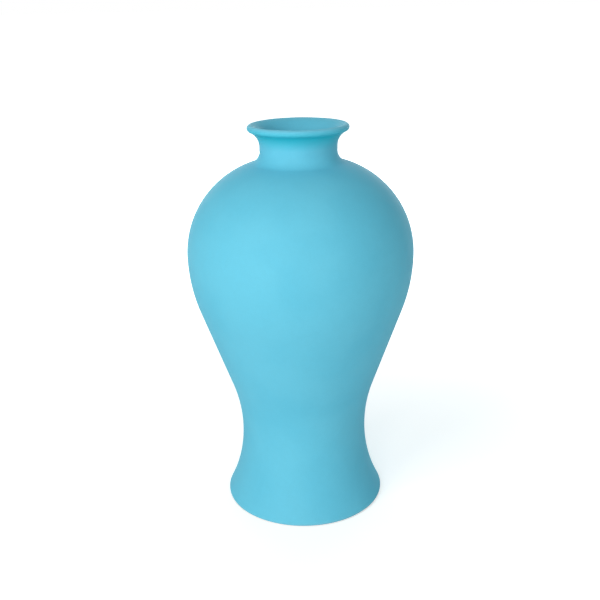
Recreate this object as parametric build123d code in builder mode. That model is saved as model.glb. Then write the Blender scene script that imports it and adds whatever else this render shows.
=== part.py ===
from build123d import *
from math import atan2, cos, degrees, sin, sqrt
import os

# Meiping vase: a plum vase with a turned-out lip, a short neck, a broad shoulder, a drawn-in waist and a
# spreading foot. It is thrown in four clay sections, luted together with slip, then glazed all over.
# Millimetres. The origin is the centre of the foot on the table, and +Z runs up the axis of the vase.
# Every profile is drawn flat, with x as the radius and y as the height, and turned about the Z axis.

# Outside diameters, over the glaze
neck_diameter = 57.5
belly_diameter = 171.5
waist_diameter = 99.0

# How far the lip turns out past the neck, and the foot spreads past the waist
lip_overhang = 8.75
foot_spread = 13.5

# Heights, stacked from the table up
foot_height = 58.5  # table to waist
body_height = 145.0  # waist to the widest part of the belly
shoulder_height = 77.5  # belly to collar
collar_height = 3.0  # the straight part of the neck
mouth_height = 16.0  # collar to the top of the lip

# Curves of the outside
lip_radius = 2.6  # the round edge of the lip, where the wall is thinnest
neck_root_radius = 10.0  # the hollow where the shoulder runs up into the collar
body_straight = 65.5  # the straight run between the belly's swell and the waist's hollow
belly_share = 0.505  # the swell's share of that pair of radii; the hollow has the rest
foot_edge_radius = 2.4  # the rounded edge of the clay foot

# Thicknesses
clay_wall = 5.6
coat = 0.4  # the matte glaze outside, over the lip and under the foot
liner = 0.4  # the glaze that makes the inside hold water
floor_thickness = 7.0
floor_corner_radius = 7.0

# Foot ring and the hollow inside it
foot_ring_width = 9.0  # the flat, bare ring that the vase stands on
recess_depth = 3.5
wiped_angle = 30.0  # degrees from the level at which the glaze is wiped off the foot's two edges

# Luted joints: a ridge on the lower rim keys into a groove in the rim above, with slip between
ridge_width = 2.8
ridge_height = 1.6
slip_thickness = 0.5

# Radii and levels of the outside
neck_radius = neck_diameter / 2
belly_radius = belly_diameter / 2
waist_radius = waist_diameter / 2
foot_radius = waist_radius + foot_spread
belly_level = foot_height + body_height
neck_level = belly_level + shoulder_height
collar_level = neck_level + collar_height
height = collar_level + mouth_height
floor_level = recess_depth + floor_thickness

# Depths under the outer surface at which the layers of the wall meet
clay_outside = coat
clay_inside = coat + clay_wall
mouth_inside = clay_inside + coat
liner_inside = clay_inside + liner


def s_curve(step_in, rise, straight):
    """Turn in degrees and summed radii of an arc, a straight and an arc that start and end upright."""
    turn = 2 * atan2(step_in, rise + straight)
    return degrees(turn), (rise - straight * cos(turn)) / sin(turn)


def hollow_radius(step_out, rise, edge_radius):
    """Radius of a curve from upright out to a round edge; an edge radius below 0 puts it inside the curve."""
    return (step_out**2 + rise**2) / (2 * step_out) - edge_radius


def bearing(start, end):
    """Direction from one point to another, in degrees."""
    return degrees(atan2(end.Y - start.Y, end.X - start.X))


# Lip: the wall thins up to a round edge, with a hollow flare outside it and a swell inside it
lip_centre = Vector(neck_radius + lip_overhang - lip_radius, height - lip_radius)
flare_radius = hollow_radius(lip_overhang, lip_centre.Y - collar_level, lip_radius)
flare_centre = Vector(neck_radius + flare_radius, collar_level)
lip_bearing = bearing(lip_centre, flare_centre)
throat_step = lip_overhang + mouth_inside - 2 * lip_radius
throat_radius = hollow_radius(throat_step, lip_centre.Y - collar_level, -lip_radius)
throat_centre = Vector(neck_radius - mouth_inside + throat_radius, collar_level)
throat_bearing = bearing(throat_centre, lip_centre)

# Shoulder: a hollow at the root of the neck, then the swell down to the belly
shoulder_turn, shoulder_radii = s_curve(belly_radius - neck_radius, shoulder_height, 0)
shoulder_radius = shoulder_radii - neck_root_radius
shoulder_centre = Vector(belly_radius - shoulder_radius, belly_level)
neck_root_centre = Vector(neck_radius + neck_root_radius, neck_level)

# Body: the belly's swell, a straight run and the waist's hollow
body_turn, body_radii = s_curve(belly_radius - waist_radius, body_height, body_straight)
swell_radius = body_radii * belly_share
swell_centre = Vector(belly_radius - swell_radius, belly_level)
waist_hollow_radius = body_radii - swell_radius
waist_hollow_centre = Vector(waist_radius + waist_hollow_radius, foot_height)

# Foot: the hollow of the waist runs out into the rounded edge of the foot
edge_centre = Vector(foot_radius - coat - foot_edge_radius, foot_edge_radius)
spread_radius = hollow_radius(foot_spread, foot_height - edge_centre.Y, foot_edge_radius + coat)
spread_centre = Vector(waist_radius + spread_radius, foot_height)
edge_bearing = bearing(edge_centre, spread_centre)
ring_inside = Vector(edge_centre.X - foot_ring_width, 0)
recess_centre = Vector(ring_inside.X - recess_depth, 0)

# Floor: the corner where the inside wall rounds into the flat floor
corner_level = floor_level + floor_corner_radius
corner_reach = spread_radius + clay_inside + floor_corner_radius
corner_offset = sqrt(corner_reach**2 - (foot_height - corner_level) ** 2)
corner_centre = Vector(spread_centre.X - corner_offset, corner_level)
corner_bearing = bearing(corner_centre, spread_centre)


def mouth_line(depth):
    """The upright of the neck and the flare above it, at a depth under the outer surface."""
    Line((neck_radius - depth, neck_level), (neck_radius - depth, collar_level))
    CenterArc(flare_centre, flare_radius + depth, 180, lip_bearing)


def throat_line(depth):
    """The inside of the neck and the swell above it, at a depth under the neck's outer surface."""
    Line((neck_radius - depth, neck_level), (neck_radius - depth, collar_level))
    CenterArc(throat_centre, throat_radius + depth - mouth_inside, 180, throat_bearing - 180)


def lip_line(depth):
    """The round edge of the lip, from the outside over to the inside."""
    CenterArc(lip_centre, lip_radius - depth, lip_bearing, throat_bearing - lip_bearing)


def body_line(depth):
    """The shoulder, the belly and the waist, from the neck down."""
    CenterArc(neck_root_centre, neck_root_radius + depth, 180, shoulder_turn)
    CenterArc(shoulder_centre, shoulder_radius - depth, 0, shoulder_turn)
    swell = CenterArc(swell_centre, swell_radius - depth, 0, -body_turn)
    hollow = CenterArc(waist_hollow_centre, waist_hollow_radius + depth, 180, -body_turn)
    Line(swell @ 1, hollow @ 1)


def foot_line(depth, end_angle):
    """The outside of the foot, from the waist down and round its edge to end_angle."""
    CenterArc(spread_centre, spread_radius + depth, 180, edge_bearing)
    edge_radius = foot_edge_radius + coat - depth
    return CenterArc(edge_centre, edge_radius, edge_bearing, end_angle - edge_bearing) @ 1


def floor_line(depth):
    """The inside of the foot, from the waist down and over the floor to the axis."""
    raised = depth - clay_inside
    CenterArc(spread_centre, spread_radius + depth, 180, corner_bearing)
    corner = CenterArc(corner_centre, floor_corner_radius - raised, corner_bearing, -90 - corner_bearing)
    return Line(corner @ 1, (0, floor_level + raised)) @ 1


def recess_line(depth, end_angle):
    """The hollow under the foot, from the axis out and down its rounded edge to end_angle."""
    edge = CenterArc(recess_centre, recess_depth - depth, end_angle, 90 - end_angle)
    ceiling = Line(edge @ 1, (0, recess_depth - depth))
    return edge @ 0, ceiling @ 1


def flat_line(level):
    """A level line from the axis out past the widest part of the vase."""
    return [(0, level), (belly_diameter, level)]


def joint_line(level, wall_radius):
    """A level line with the ridge of a joint on it, in the middle of the clay wall."""
    middle = wall_radius - clay_outside - clay_wall / 2
    ridge = [
        (middle - ridge_width / 2, level),
        (middle, level + ridge_height),
        (middle + ridge_width / 2, level),
    ]
    axis_end, outer_end = flat_line(level)
    return [axis_end, *ridge, outer_end]


def finish(piece, name):
    """Names a finished piece and writes its file."""
    piece.part.label = name
    export_step(piece.part, f"parts/{name}.step")


os.makedirs("parts", exist_ok=True)

# The clay wall and floor in one outline, as they are once the sections are joined
with BuildSketch() as clay:
    with BuildLine():
        recess_line(0, 0)
        ring_outside = foot_line(clay_outside, -90)
        Line(ring_inside, ring_outside)
        body_line(clay_outside)
        mouth_line(clay_outside)
        lip_line(clay_outside)
        throat_line(clay_inside)
        body_line(clay_inside)
        floor_line(clay_inside)
        Line((0, recess_depth), (0, floor_level))
    make_face()


def clay_band(name, low_line, high_line):
    """Cuts the band between two lines out of the clay outline and turns it into a ring."""
    with BuildPart() as band:
        with BuildSketch(Plane.XZ):
            add(clay.sketch)
            with BuildLine():
                Polyline(*low_line, *reversed(high_line), close=True)
            make_face(mode=Mode.INTERSECT)
        revolve(axis=Axis.Z)
    finish(band, name)


# Joints from the table up: the slip in each, and the clay section under it
joints = {
    "waist": (foot_height, waist_radius, "foot_section"),
    "belly": (belly_level, belly_radius, "lower_body"),
    "neck": (neck_level, neck_radius, "upper_body"),
}
lowest = flat_line(0)
for joint, (level, wall_radius, section) in joints.items():
    rim = joint_line(level, wall_radius)
    groove = joint_line(level + slip_thickness, wall_radius)
    clay_band(section, lowest, rim)
    clay_band(f"{joint}_luting_slip", rim, groove)
    lowest = groove
clay_band("mouth_section", lowest, flat_line(height))

# Matte glaze outside: up from the wiped edge of the foot, over the lip and down inside the neck
with BuildPart() as outer_glaze:
    with BuildSketch(Plane.XZ):
        with BuildLine():
            for depth in (0, clay_outside):
                body_line(depth)
                mouth_line(depth)
                lip_line(depth)
            Line(foot_line(0, -wiped_angle), foot_line(clay_outside, -wiped_angle))
            throat_line(clay_inside)
            throat_line(mouth_inside)
            Line((neck_radius - clay_inside, neck_level), (neck_radius - mouth_inside, neck_level))
        make_face()
    revolve(axis=Axis.Z)
finish(outer_glaze, "outer_glaze")

# Glaze inside: down from the neck and over the floor
with BuildPart() as liner_glaze:
    with BuildSketch(Plane.XZ):
        with BuildLine():
            body_line(clay_inside)
            body_line(liner_inside)
            Line(floor_line(clay_inside), floor_line(liner_inside))
            Line((neck_radius - clay_inside, neck_level), (neck_radius - liner_inside, neck_level))
        make_face()
    revolve(axis=Axis.Z)
finish(liner_glaze, "liner_glaze")

# Glaze in the hollow under the foot, stopping short of the bare ring
with BuildPart() as base_glaze:
    with BuildSketch(Plane.XZ):
        with BuildLine():
            clay_edge, clay_axis = recess_line(0, wiped_angle)
            glaze_edge, glaze_axis = recess_line(coat, wiped_angle)
            Line(clay_edge, glaze_edge)
            Line(clay_axis, glaze_axis)
        make_face()
    revolve(axis=Axis.Z)
finish(base_glaze, "base_glaze")
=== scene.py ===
from math import atan2, ceil, cos, degrees, hypot, pi, radians, sin, sqrt

import bmesh
import bpy
from mathutils import Matrix, Vector


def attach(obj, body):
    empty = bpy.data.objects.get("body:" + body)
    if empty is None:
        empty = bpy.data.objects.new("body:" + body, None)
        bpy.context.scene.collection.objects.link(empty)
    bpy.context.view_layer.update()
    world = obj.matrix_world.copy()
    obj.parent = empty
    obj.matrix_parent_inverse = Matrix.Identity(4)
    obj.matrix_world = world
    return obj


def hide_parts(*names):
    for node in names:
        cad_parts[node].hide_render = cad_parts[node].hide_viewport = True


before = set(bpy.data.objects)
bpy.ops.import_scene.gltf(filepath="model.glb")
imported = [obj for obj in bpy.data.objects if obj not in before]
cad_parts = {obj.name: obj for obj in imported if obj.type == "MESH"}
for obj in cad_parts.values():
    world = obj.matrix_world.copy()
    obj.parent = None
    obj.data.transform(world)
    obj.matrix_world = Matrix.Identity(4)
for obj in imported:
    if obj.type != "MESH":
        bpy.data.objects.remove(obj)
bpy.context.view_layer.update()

# Meiping vase with a matte sky-blue glaze. The glazes are turned here as fine skins over the CAD clay.
# Sizes are millimetres, as in the part's source, until a piece is made; Blender works in metres.
MM = 0.001

# Outside of the vase, over the glaze
neck_radius = 28.75
belly_radius = 85.75
waist_radius = 49.5
lip_overhang = 8.75
foot_spread = 13.5
waist_level = 58.5
belly_level = 203.5
neck_level = 281.0
collar_level = 284.0
height = 300.0
lip_radius = 2.6
neck_root_radius = 10.0
body_straight = 65.5
belly_share = 0.505
foot_edge_radius = 2.4

# Layers of the wall
clay_wall = 5.6
coat = 0.4
liner = 0.4
skin_depth = 0.05  # keeps the fine skin of the coat inside the coarser skin of the CAD
clay_inside = coat + clay_wall
mouth_inside = clay_inside + coat

# Floor and foot ring
recess_depth = 3.5
floor_level = 10.5
floor_corner_radius = 7.0
foot_ring_width = 9.0
wiped_angle = 30.0  # degrees from the level at which the glaze is wiped off the foot's two edges

# Marks of the hand
wiped_wander = 5.0  # degrees by which the wiped edge wanders
lip_thinning = 0.16  # how much thinner the coat is on the crest of the lip
foot_thinning = 0.1  # and on the edge of the foot
thinning_wander = 0.4  # the share of this that comes and goes round the vase
throwing_height = 0.16  # half the height of the throwing rings left inside
throwing_pitch = 8.5
throwing_fades = ((8, 25), (2, 22))  # how far from the floor's middle and from the neck they grow in
trimming_height = 0.05  # half the height of the trimming rings under the foot
trimming_pitch = 3.2
trimming_fades = ((3, 12), (2, 6))  # how far from the middle and from the hollow's edge they grow in
slow_waves = ((2, 0.4), (3, 2.1), (5, 4.0), (9, 1.3))  # turns round the vase and where each starts
thinning_start = 1.0  # radians by which the thinning's waves are turned against those of the wiped edge
recess_start = 2.5  # and those of the wiped edge in the hollow under the foot

# Spacing of the points along the profiles
coat_step = 2.2
liner_step = 1.5
base_step = 0.6
hidden_step = 5.0  # on the side of a glaze that lies on the clay
widest_turn = 6.0  # degrees between points on a tight curve
edge_points = 10  # on the foot's edge, and the same all round although its end wanders
recess_points = 12  # on the edge of the hollow under the foot, likewise

# Meshes
segments = 216  # round the vase
weld = 1e-7  # metres within which points are one
sharp_bend = 50  # degrees past which a bend isn't smoothed


def wander(angle):
    """A slow, uneven wave round the vase, between -1 and 1."""
    return sum(sin(turns * angle + start) for turns, start in slow_waves) / len(slow_waves)


def ease(value, low, high):
    """Rises smoothly from 0 at low to 1 at high."""
    share = min(max((value - low) / (high - low), 0), 1)
    return share * share * (3 - 2 * share)


# Profiles: lists of points (radius, height, way out of the wall in radius, way out in height)


def arc(centre, radius, start, turn, step, hollow=False, count=None):
    """Points along an arc. Angles are in degrees, and a hollow arc's wall is on its outer side."""
    count = count or max(2, ceil(abs(turn) / widest_turn), ceil(radians(abs(turn)) * radius / step))
    side = -1 if hollow else 1
    points = []
    for k in range(count + 1):
        angle = radians(start + turn * k / count)
        across, up = cos(angle), sin(angle)
        points.append((centre[0] + radius * across, centre[1] + radius * up, side * across, side * up))
    return points


def straight(start, end, step):
    """Points along a straight between two profile points, without the two ends."""
    count = max(1, ceil(hypot(end[0] - start[0], end[1] - start[1]) / step))
    return [tuple(a + (b - a) * k / count for a, b in zip(start, end)) for k in range(1, count)]


def sunk(profile, depth):
    """The profile at a depth under its surface. The depth is a number or a list of one for each point."""
    depths = depth if isinstance(depth, list) else [depth] * len(profile)
    return [(r - nr * d, z - nz * d, nr, nz) for (r, z, nr, nz), d in zip(profile, depths)]


def lengths(profile):
    """How far along the profile each of its points is."""
    run = [0.0]
    for here, there in zip(profile, profile[1:]):
        run.append(run[-1] + hypot(there[0] - here[0], there[1] - here[1]))
    return run


def s_curve(step_in, rise, straight_run):
    """Turn in degrees and summed radii of an arc, a straight and an arc that start and end upright."""
    turn = 2 * atan2(step_in, rise + straight_run)
    return degrees(turn), (rise - straight_run * cos(turn)) / sin(turn)


def hollow_radius(step_out, rise, edge_radius):
    """Radius of a curve from upright out to a round edge; an edge radius below 0 puts it inside the curve."""
    return (step_out**2 + rise**2) / (2 * step_out) - edge_radius


def bearing(start, end):
    """Direction from one point to another, in degrees."""
    return degrees(atan2(end[1] - start[1], end[0] - start[0]))


# Curves of the outside, from the same rules as the part's source
lip_centre = (neck_radius + lip_overhang - lip_radius, height - lip_radius)
flare_radius = hollow_radius(lip_overhang, lip_centre[1] - collar_level, lip_radius)
flare_centre = (neck_radius + flare_radius, collar_level)
lip_bearing = bearing(lip_centre, flare_centre)
throat_step = lip_overhang + mouth_inside - 2 * lip_radius
throat_radius = hollow_radius(throat_step, lip_centre[1] - collar_level, -lip_radius)
throat_centre = (neck_radius - mouth_inside + throat_radius, collar_level)
throat_bearing = bearing(throat_centre, lip_centre)
shoulder_turn, shoulder_radii = s_curve(belly_radius - neck_radius, neck_level - belly_level, 0)
shoulder_radius = shoulder_radii - neck_root_radius
shoulder_centre = (belly_radius - shoulder_radius, belly_level)
neck_root_centre = (neck_radius + neck_root_radius, neck_level)
body_turn, body_radii = s_curve(belly_radius - waist_radius, belly_level - waist_level, body_straight)
swell_radius = body_radii * belly_share
swell_centre = (belly_radius - swell_radius, belly_level)
waist_hollow_radius = body_radii - swell_radius
waist_hollow_centre = (waist_radius + waist_hollow_radius, waist_level)
foot_radius = waist_radius + foot_spread
edge_centre = (foot_radius - coat - foot_edge_radius, foot_edge_radius)
edge_radius = foot_edge_radius + coat
spread_radius = hollow_radius(foot_spread, waist_level - edge_centre[1], edge_radius)
spread_centre = (waist_radius + spread_radius, waist_level)
edge_bearing = bearing(edge_centre, spread_centre)
recess_centre = (edge_centre[0] - foot_ring_width - recess_depth, 0.0)
corner_level = floor_level + floor_corner_radius
corner_reach = spread_radius + clay_inside + floor_corner_radius
corner_centre = (spread_centre[0] - sqrt(corner_reach**2 - (waist_level - corner_level) ** 2), corner_level)
corner_bearing = bearing(corner_centre, spread_centre)


def body_side(step):
    """The outside from the waist up to the foot of the collar."""
    hollow = arc(waist_hollow_centre, waist_hollow_radius, 180, -body_turn, step, hollow=True)
    swell = arc(swell_centre, swell_radius, -body_turn, body_turn, step)
    shoulder = arc(shoulder_centre, shoulder_radius, 0, shoulder_turn, step)
    root = arc(neck_root_centre, neck_root_radius, 180 + shoulder_turn, -shoulder_turn, step, hollow=True)
    return hollow + straight(hollow[-1], swell[0], step) + swell + shoulder[1:] + root[1:]


def mouth_side(step):
    """The outside of the collar and the flare, up to the lip."""
    flare = arc(flare_centre, flare_radius, 180, lip_bearing, step, hollow=True)
    collar_foot = (neck_radius, neck_level, 1.0, 0.0)
    return [collar_foot] + straight(collar_foot, flare[0], step) + flare


def throat_side(step):
    """The inside of the mouth, from the lip down to the foot of the collar."""
    swell = arc(throat_centre, throat_radius, throat_bearing, 180 - throat_bearing, step)
    collar_foot = (neck_radius - mouth_inside, neck_level, -1.0, 0.0)
    return swell + straight(swell[-1], collar_foot, step) + [collar_foot]


def outside(end_angle, step):
    """The whole glazed surface: up from the foot's edge, over the lip and down inside the neck."""
    edge = arc(edge_centre, edge_radius, end_angle, edge_bearing - end_angle, step, count=edge_points)
    flank = arc(spread_centre, spread_radius, 180 + edge_bearing, -edge_bearing, step, hollow=True)
    lip = arc(lip_centre, lip_radius, lip_bearing, throat_bearing - lip_bearing, step)
    return edge + flank[1:] + body_side(step)[1:] + mouth_side(step)[1:] + lip[1:] + throat_side(step)[1:]


def cavity(step):
    """The clay inside, from the middle of the floor up the wall to the neck."""
    corner = arc(corner_centre, floor_corner_radius, -90, corner_bearing + 90, step, hollow=True)
    middle = (0.0, floor_level, 0.0, 1.0)
    wall_radius = spread_radius + clay_inside
    wall = arc(spread_centre, wall_radius, 180 + corner_bearing, -corner_bearing, step)
    body = sunk(body_side(step), clay_inside)
    climb = [(r, z, -nr, -nz) for r, z, nr, nz in body]
    return [middle] + straight(middle, corner[0], step) + corner + wall[1:] + climb[1:]


def recess(end_angle, step):
    """The clay of the hollow under the foot, from its middle out to end_angle on its rounded edge."""
    edge = arc(recess_centre, recess_depth, 90, end_angle - 90, step, hollow=True, count=recess_points)
    middle = (0.0, recess_depth, 0.0, -1.0)
    return [middle] + straight(middle, edge[0], step) + edge


def bead(surface_end, thickness, turn):
    """The half round in which a glaze ends, from one side of the layer to the other."""
    r, z, nr, nz = surface_end
    centre = (r - nr * thickness / 2, z - nz * thickness / 2)
    start = degrees(atan2(nz, nr)) + (180 if turn > 0 else 0)
    return arc(centre, thickness / 2, start, turn, coat_step)[1:-1]


def coat_thinning(level):
    """How much thinner the coat is at a level: on the crest of the lip and on the edge of the foot."""
    on_lip = ease(level, height - lip_radius, height)
    on_foot = ease(-level, -2 * foot_edge_radius, -foot_edge_radius)
    above_wiped_edge = ease(level, foot_edge_radius / 2, foot_edge_radius)
    return lip_thinning * on_lip + foot_thinning * on_foot * above_wiped_edge


def coat_section(angle):
    """Section of the outer glaze. It thins on the lip and the foot's edge and ends in a wiped bead."""
    end_angle = -wiped_angle + wiped_wander * wander(angle)
    uneven = 1 - thinning_wander + thinning_wander * wander(angle + thinning_start)
    surface = outside(end_angle, coat_step)
    depths = [skin_depth + uneven * coat_thinning(z) for r, z, nr, nz in surface]
    skin = sunk(surface, depths)
    back = sunk(outside(end_angle, hidden_step), coat)
    return skin + back[::-1] + bead(skin[0], coat - depths[0], 180)


def spiral(run, end, pitch, angle, fades):
    """Height of spiral rings along a profile, from -1 to 1. They grow in over the fades at its two ends."""
    from_start, from_end = fades
    return [
        sin(2 * pi * place / pitch - angle) * ease(place, *from_start) * ease(end - place, *from_end)
        for place in run
    ]


def liner_section(angle):
    """Section of the glaze inside, which follows the spiral of the throwing rings."""
    clay = cavity(liner_step)
    run = lengths(clay)
    rings = spiral(run, run[-1], throwing_pitch, angle, throwing_fades)
    skin = sunk(clay, [-liner - throwing_height * ring for ring in rings])
    return skin + cavity(hidden_step)[::-1]


def base_section(angle):
    """Section of the glaze under the foot, over the rings left by the trimming tool."""
    end_angle = wiped_angle + wiped_wander * wander(angle + recess_start)
    clay = recess(end_angle, base_step)
    rings = spiral(lengths(clay), recess_centre[0], trimming_pitch, angle, trimming_fades)
    skin = sunk(clay, [-coat - trimming_height * ring for ring in rings])
    return skin[::-1] + recess(end_angle, hidden_step) + bead(skin[-1], coat, -180)[::-1]


def turned(name, section_at, node, material):
    """Turns a section about the Z axis into a piece on the root, and hides a CAD node."""
    shape = bmesh.new()
    rings = []
    for k in range(segments):
        angle = 2 * pi * k / segments
        section = section_at(angle)
        across, along = cos(angle) * MM, sin(angle) * MM
        rings.append([shape.verts.new((r * across, r * along, z * MM)) for r, z, nr, nz in section])
    size = len(section)
    steps = [(i, (i + 1) % size) for i in range(size) if section[i][0] + section[(i + 1) % size][0] > 0]
    for ring, following in zip(rings, rings[1:] + rings[:1]):
        for i, j in steps:
            shape.faces.new((ring[i], following[i], following[j], ring[j]))
    bmesh.ops.remove_doubles(shape, verts=shape.verts, dist=weld)
    bmesh.ops.recalc_face_normals(shape, faces=shape.faces)
    mesh = bpy.data.meshes.new(name)
    shape.to_mesh(mesh)
    shape.free()
    mesh.shade_smooth()
    mesh.set_sharp_from_angle(angle=radians(sharp_bend))
    mesh.materials.append(material)
    piece = bpy.data.objects.new(name, mesh)
    bpy.context.scene.collection.objects.link(piece)
    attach(piece, "root")
    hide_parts(node)


# Materials: each noise in spots to the metre, detail and roughness
cloud_noise = (22, 3, 0.5)
mottle_noise = (210, 4, 0.6)
grain_noise = (2400, 2, 0.5)
fire_noise = (35, 4, 0.6)
grog_noise = (1300, 3, 0.65)
iron_scale = 420  # iron specks to the metre

# The range of a noise that is put to use
noise_range = (0.3, 0.7)
cloud_range = (0.35, 0.7)
mottle_share = 0.5  # of the mottle in the speckle, beside the grain
speckle_range = (0.4, 1.1)
iron_range = (0.06, 0.16)  # distance from a speck's middle over which it fades, in shares of the spacing

# How the grain shows: as shades, in the roughness and as relief, with its strength and its height in metres
speckle_shades = (0.955, 1.045)
grog_shades = (0.86, 1.1)
iron_strength = 0.7
clay_roughness = (0.78, 0.95)
clay_specular = 0.25
grain_relief = 0.35  # beside the mottle
line_relief = 0.6  # beside the grog
line_waver = 0.6
line_detail = 2
glaze_bump = (0.25, 0.06 * MM)
clay_bump = (0.4, 0.1 * MM)
wave_turn = 20  # radians by which a wave texture of scale 1 turns in a metre

# Levels in metres between which the coat pales on an edge, and deepens under the lip where it gathers and
# where shade is painted
lip_pale = ((height - 1.5) * MM, (height + 0.6) * MM)
foot_pale = (3.4 * MM, 0.6 * MM)
pool_and_shade_grows = ((height - 15.4) * MM, (height - 5.0) * MM)
pool_and_shade_ends = ((height - 5.5) * MM, (height - 0.5) * MM)
level_wander = 1.2 * MM  # how far these levels stray up and down
edge_paling = 0.5

# A cone in the wall parts the outside of the flare, where the coat gathers and shade is painted, from the
# mouth
cone_radius = 26.0 * MM
cone_level = 288.0 * MM
cone_lean = 0.8
cone_blend = 1.0 * MM


def add_node(tree, kind, inputs, **options):
    """Adds a shader node; an input takes a value or another node's output."""
    made = tree.nodes.new(kind)
    for option, value in options.items():
        setattr(made, option, value)
    for key, value in inputs.items():
        if isinstance(value, bpy.types.NodeSocket):
            tree.links.new(value, made.inputs[key])
        else:
            made.inputs[key].default_value = value
    return made.outputs


def new_material(name):
    """A material with its node tree, its shader and the object's own coordinates."""
    material = bpy.data.materials.new(name)
    material.use_nodes = True
    tree = material.node_tree
    shader = tree.nodes["Principled BSDF"]
    place = add_node(tree, "ShaderNodeTexCoord", {})["Object"]
    return material, tree, shader, place


def noise(tree, place, scale, detail, roughness):
    """Noise from 0 to 1. The scale is in spots to the metre."""
    inputs = {"Vector": place, "Scale": scale, "Detail": detail, "Roughness": roughness}
    return add_node(tree, "ShaderNodeTexNoise", inputs)["Fac"]


def spread(tree, value, low, high, to_low, to_high, smooth=False):
    """Maps a value from one range to another, and keeps it there."""
    inputs = {"Value": value, "From Min": low, "From Max": high, "To Min": to_low, "To Max": to_high}
    kind = "SMOOTHSTEP" if smooth else "LINEAR"
    return add_node(tree, "ShaderNodeMapRange", inputs, interpolation_type=kind)["Result"]


def maths(tree, operation, first, second):
    """One sum on two values."""
    return add_node(tree, "ShaderNodeMath", {0: first, 1: second}, operation=operation)["Value"]


def blend(tree, share, first, second, mode="MIX"):
    """Mixes two colours. Inputs 6 and 7 and output 2 are the node's colour sockets."""
    inputs = {"Factor": share, 6: first, 7: second}
    return add_node(tree, "ShaderNodeMix", inputs, data_type="RGBA", blend_type=mode)[2]


def bump(tree, shader, height_value, strength, distance):
    """Gives the shader a fine relief; the distance is in metres."""
    inputs = {"Height": height_value, "Strength": strength, "Distance": distance}
    tree.links.new(add_node(tree, "ShaderNodeBump", inputs)["Normal"], shader.inputs["Normal"])


def pool_and_shade_under_lip(tree, place, level, strayed):
    """1 under the lip, outside the mouth, where the coat gathers and shade is painted, and 0 well away from
    there.
    """
    grows = spread(tree, strayed, *pool_and_shade_grows, 0, 1)
    ends = spread(tree, strayed, *pool_and_shade_ends, 1, 0)
    flat_place = {0: place, 1: (1, 1, 0)}
    flat = add_node(tree, "ShaderNodeVectorMath", flat_place, operation="MULTIPLY")["Vector"]
    radius = add_node(tree, "ShaderNodeVectorMath", {0: flat}, operation="LENGTH")["Value"]
    past_cone = maths(tree, "SUBTRACT", radius, maths(tree, "MULTIPLY", level, cone_lean))
    cone = cone_radius - cone_level * cone_lean
    outer = spread(tree, past_cone, cone - cone_blend, cone + cone_blend, 0, 1, smooth=True)
    return maths(tree, "MULTIPLY", maths(tree, "MINIMUM", grows, ends), outer)


def thick_shaded_and_thin(tree, place, mottle, colour, pooled_and_shaded, thin):
    """Deepens a colour under the lip, where the coat gathers and shade is painted, and pales it on the lip
    and the foot's edge.
    """
    level = add_node(tree, "ShaderNodeSeparateXYZ", {"Vector": place})["Z"]
    ragged = maths(tree, "MULTIPLY", mottle, level_wander)
    strayed = maths(tree, "ADD", level, ragged)
    lip_edge = spread(tree, strayed, *lip_pale, 0, 1, smooth=True)
    foot_edge = spread(tree, maths(tree, "SUBTRACT", level, ragged), *foot_pale, 0, 1, smooth=True)
    edges = maths(tree, "MAXIMUM", lip_edge, foot_edge)
    # painted shade under the lip's overhang, together with the coat that gathers there
    colour = blend(tree, pool_and_shade_under_lip(tree, place, level, strayed), colour, (*pooled_and_shaded, 1))
    return blend(tree, maths(tree, "MULTIPLY", edges, edge_paling), colour, (*thin, 1))


def glaze(name, plain, deep, roughness, specular, pooled_and_shaded=None, thin=None):
    """A glaze that clouds from plain to deep. A coat on the lip also has a pooled colour, which is partly
    painted shade under the lip, and a thin colour.
    """
    material, tree, shader, place = new_material(name)
    clouds = spread(tree, noise(tree, place, *cloud_noise), *cloud_range, 0, 1, smooth=True)
    mottle = noise(tree, place, *mottle_noise)
    grain = noise(tree, place, *grain_noise)
    colour = blend(tree, clouds, (*plain, 1), (*deep, 1))
    if pooled_and_shaded and thin:
        colour = thick_shaded_and_thin(tree, place, mottle, colour, pooled_and_shaded, thin)
    speckle = maths(tree, "ADD", maths(tree, "MULTIPLY", mottle, mottle_share), grain)
    shade = spread(tree, speckle, *speckle_range, *speckle_shades)
    colour = blend(tree, 1.0, colour, shade, "MULTIPLY")
    tree.links.new(colour, shader.inputs["Base Color"])
    tree.links.new(spread(tree, mottle, *noise_range, *roughness), shader.inputs["Roughness"])
    shader.inputs["Specular IOR Level"].default_value = specular
    relief = maths(tree, "ADD", mottle, maths(tree, "MULTIPLY", grain, grain_relief))
    bump(tree, shader, relief, *glaze_bump)
    return material


def fired_clay(name, plain, dark, speck, ring_pitch):
    """Bare stoneware: clouded by the fire, with grog, iron specks and the tool's lines at a ring pitch."""
    material, tree, shader, place = new_material(name)
    clouds = spread(tree, noise(tree, place, *fire_noise), *noise_range, 0, 1, smooth=True)
    grog = noise(tree, place, *grog_noise)
    cells = {"Vector": place, "Scale": iron_scale, "Randomness": 1}
    iron = spread(tree, add_node(tree, "ShaderNodeTexVoronoi", cells)["Distance"], *iron_range, 1, 0)
    ring_scale = 2 * pi / (wave_turn * ring_pitch * MM)
    rings = {"Vector": place, "Scale": ring_scale, "Distortion": line_waver, "Detail": line_detail}
    lines = add_node(tree, "ShaderNodeTexWave", rings, wave_type="RINGS", rings_direction="Z")["Fac"]
    colour = blend(tree, clouds, (*plain, 1), (*dark, 1))
    shade = spread(tree, grog, *noise_range, *grog_shades)
    colour = blend(tree, 1.0, colour, shade, "MULTIPLY")
    colour = blend(tree, maths(tree, "MULTIPLY", iron, iron_strength), colour, (*speck, 1))
    tree.links.new(colour, shader.inputs["Base Color"])
    tree.links.new(spread(tree, grog, *noise_range, *clay_roughness), shader.inputs["Roughness"])
    shader.inputs["Specular IOR Level"].default_value = clay_specular
    relief = maths(tree, "ADD", grog, maths(tree, "MULTIPLY", lines, line_relief))
    bump(tree, shader, relief, *clay_bump)
    return material


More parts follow.
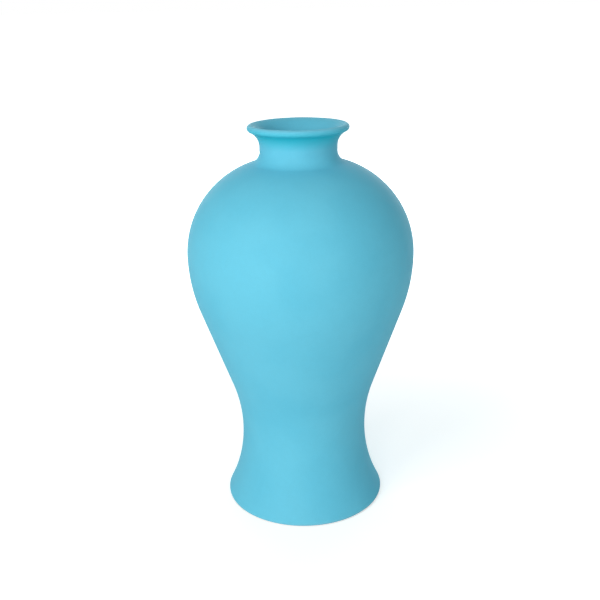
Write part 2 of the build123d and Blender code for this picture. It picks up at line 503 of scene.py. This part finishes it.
matte_blue = glaze(
    "matte_blue_glaze",
    plain=(0.128, 0.520, 0.685),
    deep=(0.114, 0.497, 0.665),
    roughness=(0.60, 0.70),
    specular=0.15,
    # partly glaze gathered under the lip, partly painted shade under its overhang
    pooled_and_shaded=(0.018, 0.480, 0.600),
    thin=(0.20, 0.57, 0.71),
)
liner_blue = glaze(
    "liner_blue_glaze",
    plain=(0.105, 0.480, 0.640),
    deep=(0.090, 0.450, 0.610),
    roughness=(0.42, 0.52),
    specular=0.30,
)
stoneware = fired_clay(
    "buff_stoneware",
    plain=(0.62, 0.50, 0.36),
    dark=(0.50, 0.38, 0.26),
    speck=(0.20, 0.12, 0.07),
    ring_pitch=3.77,
)
slip = fired_clay(
    "fired_slip",
    plain=(0.52, 0.43, 0.32),
    dark=(0.44, 0.35, 0.25),
    speck=(0.20, 0.13, 0.08),
    ring_pitch=2.51,
)

# Pieces
turned("matte_coat", coat_section, "outer_glaze", matte_blue)
turned("inner_liner", liner_section, "liner_glaze", liner_blue)
turned("base_coat", base_section, "base_glaze", matte_blue)
clay_sections = ("foot_section", "lower_body", "upper_body", "mouth_section")
slip_rings = ("waist_luting_slip", "belly_luting_slip", "neck_luting_slip")
for names, material in ((clay_sections, stoneware), (slip_rings, slip)):
    for name in names:
        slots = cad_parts[name].data.materials
        slots.clear()
        slots.append(material)

# Studio, in metres and degrees. An azimuth of 0 is in front of the vase, and 90 is on the right
floor_radius = 30
floor_sides = 96
floor_paper = 0.8  # how much light the floor sends back
floor_lift = 0.48  # what makes the floor look white beside the vase; it grows to 1 far away
lift_near = 0.12
lift_far = 0.7
ambient = 0.395
lamp_distance = 1.6
cool_white = (0.82, 0.98, 1.0)
warm_white = (1.07, 1.0, 0.98)
plain_white = (1.0, 1.0, 1.0)
lamps = (  # name, azimuth, elevation, size, level, colour
    ("front", -8, 12, 0.7, 0.42, warm_white),
    ("left_high", -45, 32, 0.7, 0.355, warm_white),
    ("back_left", -165, 8, 0.9, 0.25, plain_white),
    ("back_right", 160, 8, 0.9, 0.30, plain_white),
)

# Camera, found by fitting the outline of the vase to the photograph
sensor_width = 36
lens_length = 51.61
camera_place = (0, -0.63162, 0.38626)
camera_pan = 0.103
camera_dip = 19.383
camera_roll = -1.163
nearest_view = 0.01


def plain_view(tree):
    """1 for what the camera sees, straight or in a reflection, and 0 for the light that falls on things."""
    path = add_node(tree, "ShaderNodeLightPath", {})
    mirrored = maths(tree, "MAXIMUM", path["Is Glossy Ray"], path["Is Transmission Ray"])
    return maths(tree, "MAXIMUM", path["Is Camera Ray"], mirrored)


def white_floor():
    """A pale floor that looks white, fully so far away, and keeps the shadow of the vase."""
    bpy.ops.mesh.primitive_circle_add(vertices=floor_sides, radius=floor_radius, fill_type="NGON")
    floor = bpy.context.object
    floor.name = "floor"
    material = bpy.data.materials.new("white_floor")
    material.use_nodes = True
    tree = material.node_tree
    tree.nodes.remove(tree.nodes["Principled BSDF"])
    grey = (floor_paper, floor_paper, floor_paper, 1)
    paper = add_node(tree, "ShaderNodeBsdfDiffuse", {"Color": grey})["BSDF"]
    place = add_node(tree, "ShaderNodeTexCoord", {})["Object"]
    away = add_node(tree, "ShaderNodeVectorMath", {0: place}, operation="LENGTH")["Value"]
    strength = spread(tree, away, lift_near, lift_far, floor_lift, 1.0, smooth=True)
    lift = add_node(tree, "ShaderNodeEmission", {"Color": (1, 1, 1, 1), "Strength": strength})["Emission"]
    lifted = add_node(tree, "ShaderNodeAddShader", {0: paper, 1: lift})["Shader"]
    shown = add_node(tree, "ShaderNodeMixShader", {"Fac": plain_view(tree), 1: paper, 2: lifted})["Shader"]
    tree.links.new(shown, tree.nodes["Material Output"].inputs["Surface"])
    floor.data.materials.append(material)


def white_world():
    """Soft light from all round, and a white backdrop to look at."""
    world = bpy.data.worlds.new("studio")
    world.use_nodes = True
    bpy.context.scene.world = world
    tree = world.node_tree
    light = tree.nodes["Background"]
    light.inputs["Color"].default_value = (*cool_white, 1)
    light.inputs["Strength"].default_value = ambient
    white = add_node(tree, "ShaderNodeBackground", {"Color": (1, 1, 1, 1), "Strength": 1.0})["Background"]
    inputs = {"Fac": plain_view(tree), 1: light.outputs["Background"], 2: white}
    shown = add_node(tree, "ShaderNodeMixShader", inputs)["Shader"]
    tree.links.new(shown, tree.nodes["World Output"].inputs["Surface"])


def softbox(name, azimuth, elevation, size, level, colour):
    """A square lamp aimed at the vase; at level 1 it lights a white card there to white."""
    lamp = bpy.data.lights.new(name, "AREA")
    lamp.shape = "SQUARE"
    lamp.size = size
    lamp.energy = level * (pi * lamp_distance) ** 2
    lamp.color = colour
    box = bpy.data.objects.new(name, lamp)
    turn, lift = radians(azimuth), radians(elevation)
    away = Vector((sin(turn) * cos(lift), -cos(turn) * cos(lift), sin(lift)))
    box.location = Vector((0, 0, height * MM / 2)) + away * lamp_distance
    box.rotation_euler = away.to_track_quat("Z", "Y").to_euler()
    box.visible_camera = False
    bpy.context.scene.collection.objects.link(box)


def photo_camera():
    """The camera where the photograph was taken from."""
    lens = bpy.data.cameras.new("camera")
    lens.sensor_width = sensor_width
    lens.lens = lens_length
    lens.clip_start = nearest_view
    camera = bpy.data.objects.new("camera", lens)
    place = Matrix.Translation(camera_place)
    pan = Matrix.Rotation(radians(camera_pan), 4, "Z")
    tilt = Matrix.Rotation(radians(90 - camera_dip), 4, "X")
    roll = Matrix.Rotation(radians(camera_roll), 4, "Z")
    camera.matrix_world = place @ pan @ tilt @ roll
    bpy.context.scene.collection.objects.link(camera)
    bpy.context.scene.camera = camera


white_floor()
white_world()
for lamp in lamps:
    softbox(*lamp)
photo_camera()
bpy.context.scene.view_settings.view_transform = "Standard"
